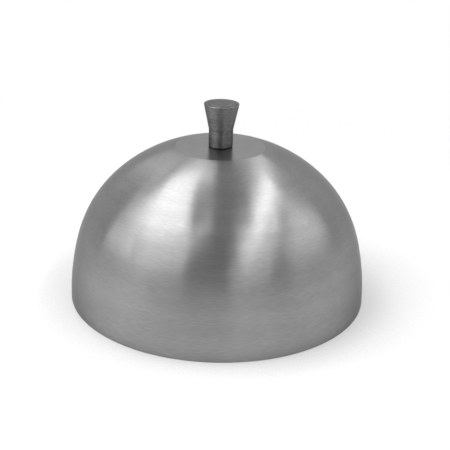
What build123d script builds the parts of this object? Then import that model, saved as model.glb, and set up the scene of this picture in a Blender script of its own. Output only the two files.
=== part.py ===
from build123d import *
import os

# Melting dome: a stainless steel cover set over food on a hot plate to hold the steam in, lifted by its knob.
# Millimetres, +Z up. The origin is the centre of the rim, on the surface that the dome stands on.

# Dome, one disc of sheet spun over a former
RIM_D = 220.0
SHEET_T = 1.0
SKIRT_H = 3.0  # straight band above the rim
WALL_R = 172.0  # radii of the tangent arcs that the half section is made of, from the rim up
SHOULDER_R = 92.0
CROWN_R = 109.0
FLAT_EDGE_R = 2.5
SKIRT_LEAN = 1.0  # lean from upright, in degrees, of the band and of the top end of each arc
WALL_LEAN = 15.6
SHOULDER_LEAN = 47.7
CROWN_LEAN = 74.3
FLAT_LEAN = 90.0
TRIM_ALLOWANCE = 2.0  # the blank is spun over-long and trimmed level
RIM_CHAMFER = 0.2  # deburred edges of the trimmed rim

# Knob, two turned pieces on a thin seal; heights are above the dome's flat top
SEAL_D = 16.4
SEAL_T = 0.6
COLLAR_D = 17.5
COLLAR_TOP = 12.6
COLLAR_FOOT_CHAMFER = 0.5
KNOB_NECK_D = 17.4
KNOB_TOP_D = 25.4
KNOB_TOP = 31.5
KNOB_EDGE_CHAMFER = 0.4
JOINT_CHAMFER = 0.15  # breaks both edges of the joint between collar and grip
SPIGOT_D = 9.9  # centres the grip in the collar
SPIGOT_L = 2.0
SPIGOT_PLAY = 0.05

# M6 screw and washers that clamp the knob from inside
THREAD_D = 6.0
THREAD_PLAY = 0.02
CLEARANCE_D = 6.4
SCREW_L = 30.0
SCREW_TIP_CHAMFER = 0.8
HEAD_D = 12.0
HEAD_H = 4.6
HEAD_SIDE_H = 1.6
RECESS_SPAN = 6.4
RECESS_W = 1.6
RECESS_DEPTH = 3.0
RECESS_TAPER = 11.0
TAPPED_SPARE = 3.0  # tapped depth beyond the screw's tip
WASHER_D = 18.0
WASHER_T = 1.6
WASHER_CHAMFER = 0.25
SPRING_BORE_D = 6.2
SPRING_D = 11.8
SPRING_T = 1.6
SPRING_GAP = 0.8
SPRING_GAP_SLANT = 0.9  # how far the slit leans over the washer's thickness

os.makedirs("parts", exist_ok=True)


# Dome shell: the outer half section from the rim to the axis, given the sheet's thickness and spun round
with BuildPart() as dome_shell:
    with BuildSketch(Plane.XZ) as dome_section:
        with BuildLine():
            PolarLine((RIM_D / 2, 0), TRIM_ALLOWANCE, SKIRT_LEAN - 90)
            skirt = PolarLine((RIM_D / 2, 0), SKIRT_H, SKIRT_LEAN + 90)
            wall = JernArc(skirt @ 1, skirt % 1, WALL_R, WALL_LEAN - SKIRT_LEAN)
            shoulder = JernArc(wall @ 1, wall % 1, SHOULDER_R, SHOULDER_LEAN - WALL_LEAN)
            crown = JernArc(shoulder @ 1, shoulder % 1, CROWN_R, CROWN_LEAN - SHOULDER_LEAN)
            flat_edge = JernArc(crown @ 1, crown % 1, FLAT_EDGE_R, FLAT_LEAN - CROWN_LEAN)
            flat_top_z = (flat_edge @ 1).Y
            Line(flat_edge @ 1, (0, flat_top_z))
            offset(amount=SHEET_T, side=Side.RIGHT)
        make_face()
        Rectangle(2 * RIM_D, 2 * TRIM_ALLOWANCE, align=(Align.CENTER, Align.MAX), mode=Mode.SUBTRACT)
        chamfer(dome_section.vertices().group_by(Axis.Y)[0], RIM_CHAMFER)
    revolve(axis=Axis.Z)
    with Locations((0, 0, flat_top_z)):
        Hole(CLEARANCE_D / 2)
dome_shell.part.label = "dome_shell"

# Seal washer: black, a little smaller than the collar, so it shows as a fine line at the knob's foot
with BuildPart() as seal_washer:
    with BuildSketch(Plane.XY.offset(flat_top_z)):
        Circle(SEAL_D / 2)
        Circle(CLEARANCE_D / 2, mode=Mode.SUBTRACT)
    extrude(amount=SEAL_T)
seal_washer.part.label = "seal_washer"

# Knob collar: a straight sleeve, counterbored on top for the grip's spigot
joint_z = flat_top_z + COLLAR_TOP
with BuildPart() as knob_collar:
    with BuildSketch(Plane.XY.offset(flat_top_z + SEAL_T)):
        Circle(COLLAR_D / 2)
    extrude(amount=COLLAR_TOP - SEAL_T)
    chamfer(knob_collar.edges().sort_by(Axis.Z)[0], COLLAR_FOOT_CHAMFER)
    chamfer(knob_collar.edges().sort_by(Axis.Z)[-1], JOINT_CHAMFER)
    with Locations((0, 0, joint_z)):
        CounterBoreHole(CLEARANCE_D / 2, SPIGOT_D / 2 + SPIGOT_PLAY, SPIGOT_L + SPIGOT_PLAY)
knob_collar.part.label = "knob_collar"

# Knob grip: flares from the neck up to a flat top, with a spigot and a blind tapped hole underneath
screw_seat_z = flat_top_z - SHEET_T - WASHER_T - SPRING_T
screw_tip_z = screw_seat_z + SCREW_L
spigot_z = joint_z - SPIGOT_L
with BuildPart() as knob_grip:
    with BuildSketch(Plane.XZ):
        with BuildLine():
            Polyline(
                (0, spigot_z),
                (SPIGOT_D / 2, spigot_z),
                (SPIGOT_D / 2, joint_z),
                (KNOB_NECK_D / 2, joint_z),
                (KNOB_TOP_D / 2, flat_top_z + KNOB_TOP),
                (0, flat_top_z + KNOB_TOP),
                close=True,
            )
        make_face()
    revolve(axis=Axis.Z)
    chamfer(knob_grip.edges().sort_by(Axis.Z)[-1], KNOB_EDGE_CHAMFER)
    turned_edges = knob_grip.edges().filter_by(GeomType.CIRCLE)
    chamfer(turned_edges.filter_by(lambda edge: edge.radius == KNOB_NECK_D / 2), JOINT_CHAMFER)
    with Locations(Plane((0, 0, spigot_z), z_dir=(0, 0, -1))):
        Hole(THREAD_D / 2, depth=screw_tip_z + TAPPED_SPARE - spigot_z)
knob_grip.part.label = "knob_grip"

# Flat washer: wide, because it bears on thin sheet
with BuildPart() as flat_washer:
    with BuildSketch(Plane.XY.offset(flat_top_z - SHEET_T - WASHER_T)):
        Circle(WASHER_D / 2)
        Circle(CLEARANCE_D / 2, mode=Mode.SUBTRACT)
    extrude(amount=WASHER_T)
    chamfer(flat_washer.edges().group_by(Axis.Z)[0].sort_by(SortBy.RADIUS)[-1], WASHER_CHAMFER)
flat_washer.part.label = "flat_washer"

# Spring washer: a square-section ring, tightened flat, with its slit on a slant
with BuildPart() as spring_washer:
    with BuildSketch(Plane.XY.offset(screw_seat_z)):
        Circle(SPRING_D / 2)
        Circle(SPRING_BORE_D / 2, mode=Mode.SUBTRACT)
    extrude(amount=SPRING_T)
    with BuildSketch(Plane.YZ):
        with BuildLine():
            Polyline(
                (-SPRING_GAP_SLANT / 2, screw_seat_z),
                (-SPRING_GAP_SLANT / 2 + SPRING_GAP, screw_seat_z),
                (SPRING_GAP_SLANT / 2 + SPRING_GAP, screw_seat_z + SPRING_T),
                (SPRING_GAP_SLANT / 2, screw_seat_z + SPRING_T),
                close=True,
            )
        make_face()
    extrude(amount=SPRING_D, mode=Mode.SUBTRACT)
spring_washer.part.label = "spring_washer"

# Knob screw: pan head below, its thread drawn as a plain shank just clear of the tapped hole
shank_r = THREAD_D / 2 - THREAD_PLAY
with BuildPart() as knob_screw:
    with BuildSketch(Plane.XZ):
        with BuildLine():
            head_top = (0, screw_seat_z - HEAD_H)
            crown_start = (HEAD_D / 2, screw_seat_z - HEAD_SIDE_H)
            TangentArc(head_top, crown_start, tangent=(1, 0))
            Polyline(
                crown_start,
                (HEAD_D / 2, screw_seat_z),
                (shank_r, screw_seat_z),
                (shank_r, screw_tip_z - SCREW_TIP_CHAMFER),
                (shank_r - SCREW_TIP_CHAMFER, screw_tip_z),
                (0, screw_tip_z),
                head_top,
            )
        make_face()
    revolve(axis=Axis.Z)
    with BuildSketch(Plane.XY.offset(screw_seat_z - HEAD_H)):
        Rectangle(RECESS_SPAN, RECESS_W)
        Rectangle(RECESS_W, RECESS_SPAN)
    extrude(amount=RECESS_DEPTH, taper=RECESS_TAPER, mode=Mode.SUBTRACT)
knob_screw.part.label = "knob_screw"

export_step(dome_shell.part, "parts/dome_shell.step")
export_step(seal_washer.part, "parts/seal_washer.step")
export_step(knob_collar.part, "parts/knob_collar.step")
export_step(knob_grip.part, "parts/knob_grip.step")
export_step(flat_washer.part, "parts/flat_washer.step")
export_step(spring_washer.part, "parts/spring_washer.step")
export_step(knob_screw.part, "parts/knob_screw.step")
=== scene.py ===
import math

import bmesh
import bpy
from mathutils import Matrix, Vector


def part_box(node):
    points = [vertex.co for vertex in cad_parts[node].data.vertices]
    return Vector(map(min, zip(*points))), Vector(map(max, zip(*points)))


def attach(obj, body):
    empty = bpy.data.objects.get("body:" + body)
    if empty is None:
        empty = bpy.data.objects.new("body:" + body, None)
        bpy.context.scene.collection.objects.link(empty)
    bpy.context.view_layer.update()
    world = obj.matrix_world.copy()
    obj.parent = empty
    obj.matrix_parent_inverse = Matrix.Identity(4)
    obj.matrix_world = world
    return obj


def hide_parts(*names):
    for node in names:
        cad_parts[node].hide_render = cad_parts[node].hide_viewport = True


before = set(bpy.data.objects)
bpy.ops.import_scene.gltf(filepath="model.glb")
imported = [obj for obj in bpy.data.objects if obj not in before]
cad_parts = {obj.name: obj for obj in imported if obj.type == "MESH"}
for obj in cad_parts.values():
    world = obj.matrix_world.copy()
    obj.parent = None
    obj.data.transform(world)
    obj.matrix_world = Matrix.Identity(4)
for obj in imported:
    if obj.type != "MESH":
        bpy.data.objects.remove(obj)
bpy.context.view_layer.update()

# Dome shell: one disc of 1 mm stainless sheet, spun over a former, trimmed at the rim, and brushed outside
# with abrasive cloth while it turns. The middle stays flat, with a hole in it, to seat the knob. The inside
# keeps the marks of the spinning roller.
MM = 0.001
RIM_R = 110.0 * MM
SHEET_T = 1.0 * MM
SKIRT_H = 3.0 * MM
SKIRT_LEAN = 1.0  # leans are from upright, in degrees
DOME_ARCS = (  # radius, lean at the top end and mesh steps of each tangent arc, from the skirt to the flat
    (172.0 * MM, 15.6, 16),
    (92.0 * MM, 47.7, 22),
    (109.0 * MM, 74.3, 20),
    (2.5 * MM, 90.0, 6),
)
FLAT_MARGIN = 0.6 * MM  # ring inside the flat's edge that keeps the rest of the flat level
SCREW_HOLE_R = 3.2 * MM
DOME_ROUND = 256
RIM_BAND = 0.1 * MM  # before it is trimmed level, the rim lies below this height
RIM_EDGE_R = 0.25 * MM
LEVEL = 0.9999  # a face whose normal points up by more than this is level
MERGE = 0.001 * MM
NEAR = 10 * MERGE
SMOOTH_UP_TO = math.radians(35)  # past the 30 degree turns of a round with three segments
WALL, FLAT, INSIDE = range(3)  # the dome's material slots


def start_section(name, radius, height):
    """Leaves one selected vertex in edit mode, from which a half section is drawn in the XZ plane."""
    bpy.ops.object.select_all(action="DESELECT")
    bpy.ops.mesh.primitive_plane_add(size=MM, enter_editmode=True)
    bpy.ops.mesh.select_mode(type="VERT")
    bpy.ops.mesh.merge(type="CENTER")
    bpy.ops.transform.translate(value=(radius, 0, height))
    piece = bpy.context.active_object
    piece.name = piece.data.name = name
    return piece


def section_end(piece):
    """Place of the vertex that the section has reached."""
    return next(v.co.copy() for v in bmesh.from_edit_mesh(piece.data).verts if v.select)


def line_to(piece, *places):
    """Draws the section straight on to each radius and height in turn."""
    for radius, height in places:
        step = Vector((radius, 0, height)) - section_end(piece)
        bpy.ops.mesh.extrude_region_move(TRANSFORM_OT_translate={"value": step})


def arc_up(piece, radius, lean_from, lean_to, steps):
    """Draws the section on along an arc that turns in from one lean to another."""
    start = math.radians(lean_from)
    centre = section_end(piece) - radius * Vector((math.cos(start), 0, math.sin(start)))
    turn = math.radians(lean_to - lean_from)
    bpy.ops.mesh.spin(steps=steps, angle=turn, center=centre, axis=(0, 1, 0))


def turn_round(steps):
    """Spins the section once round the upright axis, closes the seam and points the faces outwards."""
    bpy.ops.mesh.select_all(action="SELECT")
    bpy.ops.mesh.spin(steps=steps, angle=2 * math.pi, center=(0, 0, 0), axis=(0, 0, 1))
    bpy.ops.mesh.select_all(action="SELECT")
    bpy.ops.mesh.remove_doubles(threshold=MERGE)
    bpy.ops.mesh.normals_make_consistent(inside=False)


def select_edges(piece, wanted):
    """Selects the edges whose two ends both pass a test of place."""
    bpy.ops.mesh.select_mode(type="EDGE")
    bpy.ops.mesh.select_all(action="DESELECT")
    mesh = bmesh.from_edit_mesh(piece.data)
    for edge in mesh.edges:
        edge.select_set(all(wanted(v.co) for v in edge.verts))
    bmesh.update_edit_mesh(piece.data)


def round_edge(piece, radius, height, size, segments):
    """Rounds off the ring of edges at one radius and height of a turned piece."""
    select_edges(
        piece,
        lambda place: abs(place.xy.length - radius) < NEAR and abs(place.z - height) < NEAR,
    )
    bpy.ops.mesh.bevel(offset=size, segments=segments, affect="EDGES")


def leave_smooth():
    """Leaves edit mode with faces shaded smooth across all but the sharp edges."""
    bpy.ops.object.mode_set(mode="OBJECT")
    bpy.ops.object.shade_smooth_by_angle(angle=SMOOTH_UP_TO)


def linear(hex_colour):
    """Scene-linear RGBA of an sRGB hex colour."""
    parts = [int(hex_colour[i:i + 2], 16) / 255 for i in (1, 3, 5)]
    return [c / 12.92 if c <= 0.04045 else ((c + 0.055) / 1.055) ** 2.4 for c in parts] + [1.0]


def add_node(tree, kind, sockets=None, **settings):
    """Adds one shader node, sets its own settings, and links or sets its inputs."""
    node = tree.nodes.new("ShaderNode" + kind)
    for name, value in settings.items():
        setattr(node, name, value)
    for name, value in (sockets or {}).items():
        if isinstance(value, bpy.types.NodeSocket):
            tree.links.new(value, node.inputs[name])
        else:
            node.inputs[name].default_value = value
    return node


def new_material(name):
    """An empty material and its node tree."""
    material = bpy.data.materials.new(name)
    material.use_nodes = True
    material.node_tree.nodes.clear()
    return material, material.node_tree


def lathe_place(tree):
    """Place on a turned piece: cosine and sine of its angle, then its height less its radius, in metres."""
    place = add_node(tree, "TexCoord").outputs["Object"]
    level = add_node(tree, "VectorMath", {0: place, 1: (1, 1, 0)}, operation="MULTIPLY").outputs["Vector"]
    around = add_node(tree, "VectorMath", {0: level}, operation="NORMALIZE").outputs["Vector"]
    radius = add_node(tree, "VectorMath", {0: level}, operation="LENGTH").outputs["Value"]
    height = add_node(tree, "SeparateXYZ", {0: place}).outputs["Z"]
    climb = add_node(tree, "Math", {0: height, 1: radius}, operation="SUBTRACT").outputs["Value"]
    upward = add_node(tree, "CombineXYZ", {"Z": climb}).outputs["Vector"]
    return add_node(tree, "VectorMath", {0: around, 1: upward}, operation="ADD").outputs["Vector"]


def lathe_lines(tree, place, radius, run, spacing):
    """Noise drawn out round the axis: lines about run long at that radius, and about spacing apart."""
    stretch = (radius / run, radius / run, 1 / spacing)
    lines = add_node(tree, "Mapping", {"Vector": place, "Scale": stretch}).outputs["Vector"]
    return add_node(tree, "TexNoise", {"Vector": lines, "Scale": 1.0, "Detail": 0.0}).outputs["Fac"]


def cloud_of(tree, size):
    """Soft noise without direction, with patches of about that size."""
    place = add_node(tree, "TexCoord").outputs["Object"]
    return add_node(tree, "TexNoise", {"Vector": place, "Scale": 1 / size, "Detail": 3.0}).outputs["Fac"]


def blend_of(tree, shares, first, second, third):
    """Three noises added up in the given shares."""
    joined = add_node(tree, "CombineXYZ", {"X": first, "Y": second, "Z": third}).outputs["Vector"]
    return add_node(tree, "VectorMath", {0: joined, 1: shares}, operation="DOT_PRODUCT").outputs["Value"]


NOISE_LOW, NOISE_HIGH = 0.35, 0.65  # most of a noise lies between these


def tone_of(tree, uneven, dark, pale):
    """Colour that goes from dark to pale with a noise."""
    tone = add_node(tree, "MapRange", {
        "Value": uneven,
        "From Min": NOISE_LOW,
        "From Max": NOISE_HIGH,
    }).outputs["Result"]
    return add_node(tree, "MixRGB", {
        "Fac": tone,
        "Color1": linear(dark),
        "Color2": linear(pale),
    }).outputs["Color"]


STEEL_EDGE = "#BCBCBC"  # steel hardly brightens where it is seen edge on
ROUGH_LEAST, ROUGH_MOST = 0.98, 1.08  # how far roughness strays over a steel's patches
QUARTER_TURN = 0.25  # turns highlights from along the lathe's lines to across them


def finish_steel(tree, colour, patches, roughness, relief, depth, across):
    """Ends a steel: roughness follows soft patches, and highlights lie across the lathe's lines."""
    rough = add_node(tree, "MapRange", {
        "Value": patches,
        "From Min": NOISE_LOW,
        "From Max": NOISE_HIGH,
        "To Min": ROUGH_LEAST * roughness,
        "To Max": ROUGH_MOST * roughness,
    }).outputs["Result"]
    bump = add_node(tree, "Bump", {"Height": relief, "Strength": 1.0, "Distance": depth}).outputs["Normal"]
    around = add_node(tree, "Tangent", direction_type="RADIAL", axis="Z").outputs["Tangent"]
    steel = add_node(tree, "BsdfPrincipled", {
        "Base Color": colour,
        "Metallic": 1.0,
        "Roughness": rough,
        "Specular Tint": linear(STEEL_EDGE),
        "Anisotropic": across,
        "Anisotropic Rotation": QUARTER_TURN,
        "Tangent": around,
        "Normal": bump,
    })
    add_node(tree, "OutputMaterial", {"Surface": steel.outputs["BSDF"]})


# Brushed stainless sheet gives long soft streaks of light that run up the dome, broken by fine lines round
# it. The real lines are about 0.1 mm apart, too fine to show, so they are drawn coarser. Here and there a
# line has a painted glint, a paler tone in its colour, and a few small dark specks lie over the sheet.
BRUSH_APART = 0.8 * MM
BRUSH_RUN = 6.0 * MM
PASS_APART = 9.0 * MM
PASS_RUN = 220.0 * MM
CLOUD = 28.0 * MM
BRUSH_SHARES = (0.4, 0.25, 0.35)  # of the lines, the cloth's passes and the clouds in the tone
GLINT_APART = 1.1 * MM
GLINT_RUN = 6.0 * MM
GLINT_FROM, GLINT_FULL = 0.72, 0.80  # only the peaks of the noise glint
GLINT_SHARE = 0.2
PAINTED_GLINT_TONE = "#B4B4B4"
SPECK_APART = 32.0 * MM
SPECK_R = 0.5 * MM
SPECK_SHARE = 0.8
SPECK_TONE = "#4A4A4A"


def brushed_steel(name, radius, dark, pale, roughness, across, line_depth):
    """Stainless sheet brushed on the lathe, with lines that run true to length at that radius."""
    material, tree = new_material(name)
    place = lathe_place(tree)
    lines = lathe_lines(tree, place, radius, BRUSH_RUN, BRUSH_APART)
    passes = lathe_lines(tree, place, radius, PASS_RUN, PASS_APART)
    patches = cloud_of(tree, CLOUD)
    uneven = blend_of(tree, BRUSH_SHARES, lines, passes, patches)
    glints = lathe_lines(tree, place, radius, GLINT_RUN, GLINT_APART)
    # A pale tone painted in at the peaks of the noise: a painted glint.
    painted_glint = add_node(tree, "MapRange", {
        "Value": glints,
        "From Min": GLINT_FROM,
        "From Max": GLINT_FULL,
        "To Max": GLINT_SHARE,
    }).outputs["Result"]
    painted_glinting = add_node(tree, "MixRGB", {
        "Fac": painted_glint,
        "Color1": tone_of(tree, uneven, dark, pale),
        "Color2": linear(PAINTED_GLINT_TONE),
    }).outputs["Color"]
    where = add_node(tree, "TexCoord").outputs["Object"]
    # A few small dark specks, spread over the sheet.
    speck_distance = add_node(tree, "TexVoronoi", {"Vector": where, "Scale": 1 / SPECK_APART}).outputs["Distance"]
    speck = add_node(tree, "MapRange", {
        "Value": speck_distance,
        "From Max": SPECK_R / SPECK_APART,
        "To Min": SPECK_SHARE,
        "To Max": 0.0,
    }).outputs["Result"]
    specked = add_node(tree, "MixRGB", {
        "Fac": speck,
        "Color1": painted_glinting,
        "Color2": linear(SPECK_TONE),
    }).outputs["Color"]
    finish_steel(tree, specked, patches, roughness, lines, line_depth, across)
    return material


dome = start_section("dome", RIM_R, 0)
skirt_lean = math.radians(SKIRT_LEAN)
line_to(dome, (RIM_R - SKIRT_H * math.sin(skirt_lean), SKIRT_H * math.cos(skirt_lean)))
lean = SKIRT_LEAN
for arc_radius, lean_to, arc_steps in DOME_ARCS:
    arc_up(dome, arc_radius, lean, lean_to, arc_steps)
    lean = lean_to
flat_edge = section_end(dome)
line_to(dome, (flat_edge.x - FLAT_MARGIN, flat_edge.z), (SCREW_HOLE_R, flat_edge.z))
turn_round(DOME_ROUND)
bpy.ops.object.mode_set(mode="OBJECT")
sheet = dome.modifiers.new("sheet", "SOLIDIFY")
sheet.thickness = SHEET_T
sheet.offset = -1
sheet.use_even_offset = True
bpy.ops.object.modifier_apply(modifier=sheet.name)
bpy.ops.object.mode_set(mode="EDIT")
select_edges(dome, lambda place: place.z < RIM_BAND)
bpy.ops.transform.resize(value=(1, 1, 0), center_override=(0, 0, 0))
round_edge(dome, RIM_R, 0, RIM_EDGE_R, segments=3)
round_edge(dome, RIM_R - SHEET_T * math.cos(skirt_lean), 0, RIM_EDGE_R, segments=3)
leave_smooth()
dome.data.materials.append(brushed_steel(
    "brushed_stainless_wall",
    RIM_R,
    dark="#8E8E8E",
    pale="#9A9A9A",
    roughness=0.28,
    across=0.90,
    line_depth=0.006 * MM,
))
# The flat is brushed more lightly and shows hardly a streak. Its even grey, paler than the wall's, is
# painted light that brightens the level top.
dome.data.materials.append(brushed_steel(
    "brushed_stainless_flat",
    flat_edge.x,
    dark="#9B9B9B",
    pale="#A5A5A5",
    roughness=0.28,
    across=0.50,
    line_depth=0.003 * MM,
))
# The roller leaves the inside duller, with deeper rings.
dome.data.materials.append(brushed_steel(
    "spun_stainless_inside",
    RIM_R,
    dark="#8A8A8A",
    pale="#9C9C9C",
    roughness=0.36,
    across=0.70,
    line_depth=0.030 * MM,
))
for face in dome.data.polygons:
    if face.normal.dot(face.center) < 0:
        face.material_index = INSIDE
    elif face.center.xy.length < flat_edge.x and face.normal.z > LEVEL:
        face.material_index = FLAT
    else:
        face.material_index = WALL
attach(dome, "root")
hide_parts("dome_shell")

# Seal: a thin black rubber washer, punched from sheet, that keeps steam out of the screw hole.
# It is a little smaller than the collar that clamps it, so it shows as a dark line at the knob's foot. That
# line's near-black is partly the rubber's own and partly painted shade of the joint under the collar.
SEAL_R = 8.2 * MM
SEAL_EDGE_R = 0.2 * MM
KNOB_ROUND = 128
RUBBER_GRAIN = 0.35 * MM
RUBBER_DEPTH = 0.02 * MM
# The rubber's near-black tone and low shine also stand in for the shade in the joint: painted shade.
RUBBER_DARK, RUBBER_PALE = "#080808", "#121212"
RUBBER_ROUGH_LEAST, RUBBER_ROUGH_MOST = 0.5, 0.8
RUBBER_IOR = 1.52
RUBBER_SHINE = 0.1
seal_foot, seal_top = (corner.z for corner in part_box("seal_washer"))


def new_ring(name, bore, outside, foot, top, steps):
    """A plain turned ring, in edit mode."""
    ring = start_section(name, bore, foot)
    line_to(ring, (outside, foot), (outside, top), (bore, top), (bore, foot))
    turn_round(steps)
    return ring


seal = new_ring("seal", SCREW_HOLE_R, SEAL_R, seal_foot, seal_top, KNOB_ROUND)
round_edge(seal, SEAL_R, seal_foot, SEAL_EDGE_R, segments=3)
round_edge(seal, SEAL_R, seal_top, SEAL_EDGE_R, segments=3)
leave_smooth()
# Calendered nitrile rubber gives a dull black with no clear highlight, and a faint grain that is drawn
# coarse enough to show.
rubber, rubber_tree = new_material("black_nitrile_rubber")
rubber_grain = cloud_of(rubber_tree, RUBBER_GRAIN)
rubber_bump = add_node(rubber_tree, "Bump", {
    "Height": rubber_grain,
    "Strength": 1.0,
    "Distance": RUBBER_DEPTH,
})
rubber_rough = add_node(rubber_tree, "MapRange", {
    "Value": rubber_grain,
    "To Min": RUBBER_ROUGH_LEAST,
    "To Max": RUBBER_ROUGH_MOST,
})
rubber_surface = add_node(rubber_tree, "BsdfPrincipled", {
    "Base Color": tone_of(rubber_tree, rubber_grain, RUBBER_DARK, RUBBER_PALE),
    "Roughness": rubber_rough.outputs["Result"],
    "IOR": RUBBER_IOR,
    "Specular IOR Level": RUBBER_SHINE,
    "Normal": rubber_bump.outputs["Normal"],
})
add_node(rubber_tree, "OutputMaterial", {"Surface": rubber_surface.outputs["BSDF"]})
seal.data.materials.append(rubber)
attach(seal, "root")
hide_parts("seal_washer")

# Knob collar: a sleeve turned from stainless bar, drilled for the screw and counterbored for the grip.
# It stands on the seal and lifts the grip clear of the hot dome.
COLLAR_R = 8.75 * MM
SPIGOT_R = 4.95 * MM
SPIGOT_L = 2.0 * MM
SPIGOT_PLAY = 0.05 * MM
COLLAR_FOOT_ROUND = 0.5 * MM
JOINT_ROUND = 0.2 * MM
collar_foot, joint_z = (corner.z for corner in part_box("knob_collar"))

# Turned stainless bar is less even than the sheet, with tool grooves round it and a mottled, smoky tone; its
# darker grey is painted shade. The real grooves are about 0.2 mm apart, and are drawn coarser to show.
GROOVE_APART = 0.45 * MM
GROOVE_RUN = 9.0 * MM
GROOVE_DEPTH = 0.006 * MM
MOTTLE = 1.6 * MM
SMOKE = 4 * MOTTLE
TURNED_ROUGH = 0.42
TURNED_ACROSS = 0.94
TURNED_SHARES = (0.35, 0.4, 0.25)  # of the grooves, the mottling and the smoke in the tone


def turned_steel(name, dark, pale, roughness, across, shares):
    """Stainless bar as the lathe tool leaves it."""
    material, tree = new_material(name)
    grooves = lathe_lines(tree, lathe_place(tree), COLLAR_R, GROOVE_RUN, GROOVE_APART)
    patches = cloud_of(tree, SMOKE)
    uneven = blend_of(tree, shares, grooves, cloud_of(tree, MOTTLE), patches)
    finish_steel(tree, tone_of(tree, uneven, dark, pale), patches, roughness, grooves, GROOVE_DEPTH, across)
    return material


collar = start_section("collar", SCREW_HOLE_R, collar_foot)
counterbore_r = SPIGOT_R + SPIGOT_PLAY
counterbore_z = joint_z - SPIGOT_L - SPIGOT_PLAY
line_to(
    collar,
    (COLLAR_R, collar_foot),
    (COLLAR_R, joint_z),
    (counterbore_r, joint_z),
    (counterbore_r, counterbore_z),
    (SCREW_HOLE_R, counterbore_z),
    (SCREW_HOLE_R, collar_foot),
)
turn_round(KNOB_ROUND)
round_edge(collar, COLLAR_R, collar_foot, COLLAR_FOOT_ROUND, segments=3)
round_edge(collar, COLLAR_R, joint_z, JOINT_ROUND, segments=2)
leave_smooth()
# The sleeve is painted darker than the grip, as the shade under the grip's flare: painted shade.
collar.data.materials.append(turned_steel(
    "turned_stainless_sleeve",
    dark="#5A5A5A",
    pale="#747474",
    roughness=TURNED_ROUGH,
    across=TURNED_ACROSS,
    shares=TURNED_SHARES,
))
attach(collar, "root")
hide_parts("knob_collar")

# Knob grip: turned from the same bar, flaring from the neck to a faced top. A spigot below centres it, and
# its blind tapped hole takes the screw. The edges where it meets the collar are broken, and leave a fine
# joint.
NECK_R = 8.7 * MM
KNOB_TOP_R = 12.7 * MM
KNOB_EDGE_ROUND = 0.5 * MM
THREAD_R = 3.0 * MM
TAPPED_SPARE = 3.0 * MM
FACED_SHARES = (0.7, 0.1, 0.2)
FACED_FROM = 0.3  # the faced top begins where the normal points up by more than this
SIDES, FACED = range(2)  # the grip's material slots
knob_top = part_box("knob_grip")[1].z
screw_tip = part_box("knob_screw")[1].z
spigot_z = joint_z - SPIGOT_L
hole_end = screw_tip + TAPPED_SPARE
grip = start_section("grip", 0, hole_end)
line_to(
    grip,
    (THREAD_R, hole_end),
    (THREAD_R, spigot_z),
    (SPIGOT_R, spigot_z),
    (SPIGOT_R, joint_z),
    (NECK_R, joint_z),
    (KNOB_TOP_R, knob_top),
    (0, knob_top),
)
turn_round(KNOB_ROUND)
round_edge(grip, KNOB_TOP_R, knob_top, KNOB_EDGE_ROUND, segments=4)
round_edge(grip, NECK_R, joint_z, JOINT_ROUND, segments=2)
leave_smooth()
grip.data.materials.append(turned_steel(
    "turned_stainless_bar",
    dark="#696969",
    pale="#838383",
    roughness=TURNED_ROUGH,
    across=TURNED_ACROSS,
    shares=TURNED_SHARES,
))
# The faced top takes a finer cut than the sides and shows its rings. Its broken edge catches a glint, partly
# from that smoother cut and partly painted, as the upper part of the edge takes the top's paler tone.
grip.data.materials.append(turned_steel(
    "faced_stainless_bar",
    dark="#5A5A5A",
    pale="#949494",
    roughness=0.30,
    across=0.45,
    shares=FACED_SHARES,
))
# Faces part way round the broken edge take the faced top's paler tone as a painted glint.
for face in grip.data.polygons:
    on_top = face.normal.z > FACED_FROM and face.center.z > hole_end
    face.material_index = FACED if on_top else SIDES
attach(grip, "root")
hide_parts("knob_grip")

# Flat washer: stamped from stainless strip and tumbled. It is wide enough to spread the screw's pull over
# thin sheet. The die leaves its lower edge rounded and its upper edge nearly sharp.
WASHER_R = 9.0 * MM
WASHER_DIE_ROUND = 0.35 * MM
WASHER_BURR_ROUND = 0.1 * MM
washer_foot, washer_top = (corner.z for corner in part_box("flat_washer"))

# Tumbled steel gives a soft even shine, with shallow dents and no direction.
DENT = 0.7 * MM
DENT_GRAIN = 0.3 * DENT
DENT_PATCH = 5 * DENT
TUMBLED_SHARES = (0.5, 0.3, 0.2)  # of the dents, their grain and the patches in the tone


def tumbled_steel(name, dark, pale, roughness, dent_depth):
    """Small steel ware after tumbling."""
    material, tree = new_material(name)
    dents = cloud_of(tree, DENT)
    patches = cloud_of(tree, DENT_PATCH)
    uneven = blend_of(tree, TUMBLED_SHARES, dents, cloud_of(tree, DENT_GRAIN), patches)
    finish_steel(tree, tone_of(tree, uneven, dark, pale), patches, roughness, dents, dent_depth, across=0.0)
    return material


washer = new_ring("washer", SCREW_HOLE_R, WASHER_R, washer_foot, washer_top, KNOB_ROUND)
round_edge(washer, WASHER_R, washer_foot, WASHER_DIE_ROUND, segments=3)
round_edge(washer, WASHER_R, washer_top, WASHER_BURR_ROUND, segments=2)
leave_smooth()
washer.data.materials.append(tumbled_steel(
    "tumbled_stainless_strip",
    dark="#979797",
    pale="#ABABAB",
    roughness=0.30,
    dent_depth=0.012 * MM,
))
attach(washer, "root")
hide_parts("flat_washer")

# Spring washer: a turn of square spring steel wire, sheared off on a slant, that keeps the screw tight as
# the dome heats and cools. Here it is screwed down flat, with its slit to one side.
SPRING_R = 5.9 * MM
SPRING_BORE_R = 3.1 * MM
SLIT_W = 0.8 * MM
SLIT_SLANT = 0.9 * MM
WIRE_EDGE_R = 0.12 * MM
SHARP_FROM = math.radians(40)
SMALL_ROUND = 96
spring_foot, spring_top = (corner.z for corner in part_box("spring_washer"))


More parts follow.
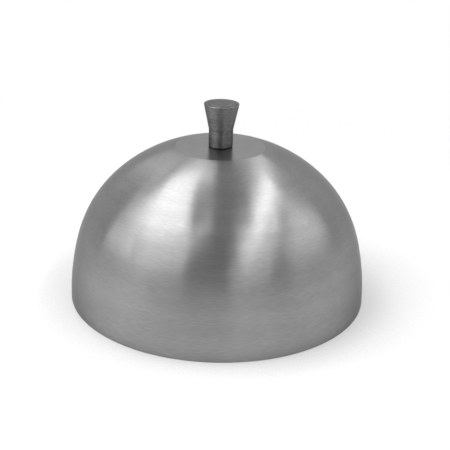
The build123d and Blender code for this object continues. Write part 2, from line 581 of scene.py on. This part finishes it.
def new_block(name, size, place):
    """A block in edit mode, from a cube drawn out to its size."""
    bpy.ops.object.select_all(action="DESELECT")
    bpy.ops.mesh.primitive_cube_add(size=1, enter_editmode=True)
    bpy.ops.transform.resize(value=size)
    bpy.ops.transform.translate(value=place)
    block = bpy.context.active_object
    block.name = name
    return block


def select_vertices(piece, wanted):
    """Selects the vertices that pass a test of place."""
    bpy.ops.mesh.select_mode(type="VERT")
    bpy.ops.mesh.select_all(action="DESELECT")
    mesh = bmesh.from_edit_mesh(piece.data)
    for vertex in mesh.verts:
        vertex.select_set(wanted(vertex.co))
    bmesh.update_edit_mesh(piece.data)


def combine(piece, tool, operation):
    """Cuts a piece with a tool, or joins them, clears the tool away and leaves the piece selected."""
    bpy.ops.object.mode_set(mode="OBJECT")
    step = piece.modifiers.new("combine", "BOOLEAN")
    step.operation = operation
    step.solver = "EXACT"
    step.object = tool
    bpy.context.view_layer.objects.active = piece
    bpy.ops.object.modifier_apply(modifier=step.name)
    bpy.data.objects.remove(tool)
    piece.select_set(True)


def soften_edges(piece, size):
    """Rounds off every sharp edge of a piece by the same small size."""
    step = piece.modifiers.new("soften", "BEVEL")
    step.width = size
    step.segments = 2
    step.limit_method = "ANGLE"
    step.angle_limit = SHARP_FROM
    bpy.ops.object.modifier_apply(modifier=step.name)


# The slit's tool is twice as high as the wire, so its top is pushed over by twice the slant.
spring = new_ring("spring", SPRING_BORE_R, SPRING_R, spring_foot, spring_top, SMALL_ROUND)
bpy.ops.object.mode_set(mode="OBJECT")
spring_t = spring_top - spring_foot
slit_middle = (SPRING_R / 2 + SPRING_BORE_R / 2, SLIT_W / 2, spring_foot + spring_t / 2)
slit = new_block("slit", (SPRING_R, SLIT_W, 2 * spring_t), slit_middle)
select_vertices(slit, lambda place: place.z > slit_middle[2])
bpy.ops.transform.translate(value=(0, 2 * SLIT_SLANT, 0))
bpy.ops.mesh.select_all(action="SELECT")
bpy.ops.transform.translate(value=(0, -SLIT_SLANT, 0))
combine(spring, slit, "DIFFERENCE")
soften_edges(spring, WIRE_EDGE_R)
leave_smooth()
# Hardened and tempered wire keeps a greyer, duller skin than the washer above it.
spring.data.materials.append(tumbled_steel(
    "tempered_spring_wire",
    dark="#6E6E70",
    pale="#848486",
    roughness=0.38,
    dent_depth=0.010 * MM,
))
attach(spring, "root")
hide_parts("spring_washer")

# Screw: a stainless M6 pan head screw with a cross recess, cold headed and rolled, driven from inside. It
# passes through both washers, the sheet, the seal and the collar into the grip, and holds them together.
HEAD_R = 6.0 * MM
HEAD_H = 4.6 * MM
HEAD_SIDE_H = 1.6 * MM
HEAD_ARC_STEPS = 12
HEAD_EDGE_R = 0.25 * MM
RECESS_SPAN = 6.4 * MM
RECESS_W = 1.6 * MM
RECESS_DEPTH = 3.0 * MM
RECESS_TAPER = math.radians(11)
THREAD_MAJOR_R = 2.98 * MM
THREAD_MINOR_R = 2.39 * MM
THREAD_PITCH = 1.0 * MM
THREAD_OUTLINE = (  # radius and share of the pitch at each corner of one turn, from root to root
    (THREAD_MINOR_R, 0.25),
    (THREAD_MAJOR_R, 0.56),
    (THREAD_MAJOR_R, 0.69),
    (THREAD_MINOR_R, 1.0),
)
THREAD_STEPS = 48
SPARE_TURNS = 2  # wound past both ends of the thread, to be cut off
SHANK_R = 2.66 * MM  # a rolled thread stands up from a thinner shank
PLAIN_SHANK = 2.0 * MM
TIP_CHAMFER = 0.8 * MM
seat = spring_foot
head_top = seat - HEAD_H
plain_end = seat + PLAIN_SHANK

# Head and core: the pan's arc starts level at the axis and ends at the straight side.
screw = start_section("screw", 0, head_top)
crown_h = seat - HEAD_SIDE_H - head_top
crown_r = (HEAD_R ** 2 + crown_h ** 2) / (2 * crown_h)
crown_turn = math.asin(HEAD_R / crown_r)
bpy.ops.mesh.spin(
    steps=HEAD_ARC_STEPS,
    angle=crown_turn,
    center=(0, 0, head_top + crown_r),
    axis=(0, 1, 0),
)
line_to(screw, (HEAD_R, seat), (SHANK_R, seat), (SHANK_R, plain_end), (0, plain_end))
turn_round(SMALL_ROUND)
round_edge(screw, HEAD_R, seat, HEAD_EDGE_R, segments=2)
bpy.ops.object.mode_set(mode="OBJECT")

# Thread: the outline of one turn, wound up by the pitch, then cut level below and to the blank's point.
thread_foot = seat + PLAIN_SHANK / 2
thread_start = thread_foot - THREAD_PITCH
thread_cut = screw_tip + THREAD_PITCH / 4
thread = start_section("thread", THREAD_MINOR_R, thread_start)
for radius, share in THREAD_OUTLINE:
    line_to(thread, (radius, thread_start + share * THREAD_PITCH))
bpy.ops.object.mode_set(mode="OBJECT")
winding = thread.modifiers.new("winding", "SCREW")
winding.steps = winding.render_steps = THREAD_STEPS
winding.screw_offset = THREAD_PITCH
winding.iterations = math.ceil((screw_tip - thread_foot) / THREAD_PITCH) + SPARE_TURNS
bpy.ops.object.modifier_apply(modifier=winding.name)
bpy.ops.object.mode_set(mode="EDIT")
bpy.ops.mesh.select_all(action="SELECT")
bpy.ops.mesh.remove_doubles(threshold=MERGE)
bpy.ops.mesh.bisect(
    plane_co=(0, 0, thread_foot),
    plane_no=(0, 0, 1),
    use_fill=True,
    clear_inner=True,
    threshold=MERGE,
)
bpy.ops.mesh.select_all(action="SELECT")
bpy.ops.mesh.bisect(
    plane_co=(0, 0, thread_cut),
    plane_no=(0, 0, 1),
    use_fill=True,
    clear_outer=True,
    threshold=MERGE,
)
bpy.ops.mesh.select_all(action="SELECT")
bpy.ops.mesh.normals_make_consistent(inside=False)
bpy.ops.object.mode_set(mode="OBJECT")
blank = start_section("blank", 0, seat)
line_to(
    blank,
    (HEAD_R, seat),
    (HEAD_R, screw_tip - TIP_CHAMFER - HEAD_R + THREAD_MAJOR_R),
    (THREAD_MAJOR_R - TIP_CHAMFER, screw_tip),
    (0, screw_tip),
)
turn_round(SMALL_ROUND)
combine(thread, blank, "INTERSECT")
combine(screw, thread, "UNION")

# Cross recess: two crossed bars, drawn in towards their ends.
for bar_size in ((RECESS_SPAN, RECESS_W), (RECESS_W, RECESS_SPAN)):
    bar = new_block("bar", (*bar_size, 2 * RECESS_DEPTH), (0, 0, head_top))
    for rise in (RECESS_DEPTH, -RECESS_DEPTH):
        bar_end = head_top + rise
        select_vertices(bar, lambda place: abs(place.z - bar_end) < MERGE)
        drawn_in = rise * math.tan(RECESS_TAPER)
        bpy.ops.transform.resize(
            value=(1 - 2 * drawn_in / bar_size[0], 1 - 2 * drawn_in / bar_size[1], 1),
            center_override=(0, 0, bar_end),
        )
    combine(screw, bar, "DIFFERENCE")

leave_smooth()
# Cold headed stainless keeps the smooth skin of the die, and is the brightest of the small pieces.
screw.data.materials.append(tumbled_steel(
    "cold_headed_stainless",
    dark="#9C9C9C",
    pale="#B4B4B4",
    roughness=0.28,
    dent_depth=0.008 * MM,
))
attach(screw, "root")
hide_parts("knob_screw")

# Stage: a wide floor of white studio paper, with its grain drawn coarser than the real one.
# Near the dome it is lit paper that keeps the dome's shadow, and further off it is seen as plain white.
FLOOR_SIZE = 30.0
PAPER_GRAIN = 1.5 * MM
PAPER_DEPTH = 0.01 * MM
PAPER_DARK, PAPER_PALE = "#E0E0E0", "#E6E6E6"
LIT_TO, WHITE_FROM = 0.18, 0.60  # metres from the dome's axis
bpy.ops.object.select_all(action="DESELECT")
bpy.ops.mesh.primitive_plane_add(size=FLOOR_SIZE)
floor = bpy.context.active_object
floor.name = "floor"
paper, paper_tree = new_material("white_studio_paper")
grain = cloud_of(paper_tree, PAPER_GRAIN)
paper_bump = add_node(paper_tree, "Bump", {"Height": grain, "Strength": 1.0, "Distance": PAPER_DEPTH})
lit = add_node(paper_tree, "BsdfDiffuse", {
    "Color": tone_of(paper_tree, grain, PAPER_DARK, PAPER_PALE),
    "Normal": paper_bump.outputs["Normal"],
})
plain_white = add_node(paper_tree, "Emission", {"Strength": 1.0})
seen_by = add_node(paper_tree, "LightPath").outputs
seen = add_node(
    paper_tree,
    "Math",
    {0: seen_by["Is Camera Ray"], 1: seen_by["Is Glossy Ray"]},
    operation="ADD",
)
seen = add_node(
    paper_tree,
    "Math",
    {0: seen.outputs["Value"], 1: seen_by["Is Transmission Ray"]},
    operation="ADD",
    use_clamp=True,
)
paper_place = add_node(paper_tree, "TexCoord").outputs["Object"]
from_dome = add_node(paper_tree, "VectorMath", {0: paper_place}, operation="LENGTH").outputs["Value"]
far_off = add_node(
    paper_tree,
    "MapRange",
    {"Value": from_dome, "From Min": LIT_TO, "From Max": WHITE_FROM},
    interpolation_type="SMOOTHSTEP",
)
white_share = add_node(
    paper_tree,
    "Math",
    {0: seen.outputs["Value"], 1: far_off.outputs["Result"]},
    operation="MULTIPLY",
)
sheet_of_paper = add_node(paper_tree, "MixShader", {
    0: white_share.outputs["Value"],
    1: lit.outputs["BSDF"],
    2: plain_white.outputs["Emission"],
})
add_node(paper_tree, "OutputMaterial", {"Surface": sheet_of_paper.outputs["Shader"]})
floor.data.materials.append(paper)

# Studio light: flat panels under the ceiling, all facing down, none behind another. A narrow strip on the
# right, with shorter ones before and behind it, draws the sharp streak. Soft boxes on the left draw the wide
# one, and a long dim panel behind them lights the dome's far shoulder.
LAMP_Z = 1.07
LAMPS = {  # place across and deep, yaw of the long side in degrees, length and width in metres, brightness
    "right_strip": (0.55, 0.05, 5, 0.9, 0.15, 7.5),
    "right_front": (0.55, -0.90, 15, 0.7, 0.25, 5.5),
    "right_back": (0.50, 1.05, 0, 0.9, 0.10, 4.5),
    "right_side": (0.95, -0.70, -15, 1.2, 0.10, 3.5),
    "right_far": (2.3, 0.15, 60, 2.3, 1.5, 1.5),
    "front_right": (1.15, -2.4, -15, 1.25, 1.5, 1.75),
    "left_back": (-1.0, 1.9, -20, 2.5, 0.40, 1.0),
    "left_near": (-0.35, 0.35, 85, 0.6, 0.15, 6.0),
    "left_box": (-0.85, -0.20, 10, 0.95, 1.0, 3.25),
    "left_side": (-1.75, -0.10, 30, 1.65, 0.30, 2.5),
    "left_front": (-2.1, -1.4, 10, 0.7, 2.5, 3.0),
    "left_fore": (-0.40, -0.80, 40, 1.0, 0.10, 3.0),
    "left_far": (-3.3, 0.20, -25, 2.0, 0.6, 7.0),
}
for lamp_name, (across, deep, yaw, length, width, brightness) in LAMPS.items():
    bpy.ops.object.light_add(
        type="AREA",
        location=(across, deep, LAMP_Z),
        rotation=(0, 0, -math.radians(yaw)),
    )
    lamp = bpy.context.active_object
    lamp.name = lamp_name
    lamp.data.shape = "RECTANGLE"
    lamp.data.size = width
    lamp.data.size_y = length
    lamp.data.energy = brightness * length * width * math.pi

# Room: grey all round, dark behind the camera and pale behind the dome.
# The brushed steel mirrors it wherever no panel is.
ROOM_TONES = {  # brightness by how far a direction points from behind the camera, -1, to behind the dome, 1
    -1.0: 0.45,
    -0.8: 0.20,
    -0.6: 0.40,
    -0.3: 0.55,
    0.0: 0.30,
    0.5: 0.70,
    1.0: 1.05,
}
room = bpy.data.worlds.new("grey_room")
room.use_nodes = True
room_tree = room.node_tree
room_tree.nodes.clear()
facing = add_node(room_tree, "TexCoord").outputs["Generated"]
depth = add_node(room_tree, "SeparateXYZ", {0: facing}).outputs["Y"]
spread = add_node(room_tree, "MapRange", {"Value": depth, "From Min": -1.0, "From Max": 1.0})
tones = add_node(room_tree, "ValToRGB", {"Fac": spread.outputs["Result"]})
stops = tones.color_ramp.elements
while len(stops) < len(ROOM_TONES):
    stops.new(0.5)
for stop, (toward, tone) in zip(stops, ROOM_TONES.items()):
    stop.position = (toward + 1) / 2
    stop.color = (tone, tone, tone, 1)
glow = add_node(room_tree, "Background", {"Color": tones.outputs["Color"], "Strength": 1.0})
add_node(room_tree, "OutputWorld", {"Surface": glow.outputs["Background"]})
bpy.context.scene.world = room

# Camera: a long lens a little above the knob, looking down on the flat top.
# Its lens, place and turns were fitted to the dome's outline in the photo.
LENS_MM = 74.26
CAMERA_PLACE = (0, -0.6384, 0.3191)
CLIP_FROM = 0.01
TILT, PAN, ROLL = (math.radians(a) for a in (22.671, 0.430, 1.645))
pan = Matrix.Rotation(-PAN, 3, "Z")
tilt = Matrix.Rotation(math.pi / 2 - TILT, 3, "X")
roll = Matrix.Rotation(ROLL, 3, "Z")
aim = pan @ tilt @ roll
bpy.ops.object.camera_add(location=CAMERA_PLACE, rotation=aim.to_euler())
camera = bpy.context.active_object
camera.data.lens = LENS_MM
camera.data.clip_start = CLIP_FROM
bpy.context.scene.camera = camera
bpy.context.scene.view_settings.view_transform = "Standard"
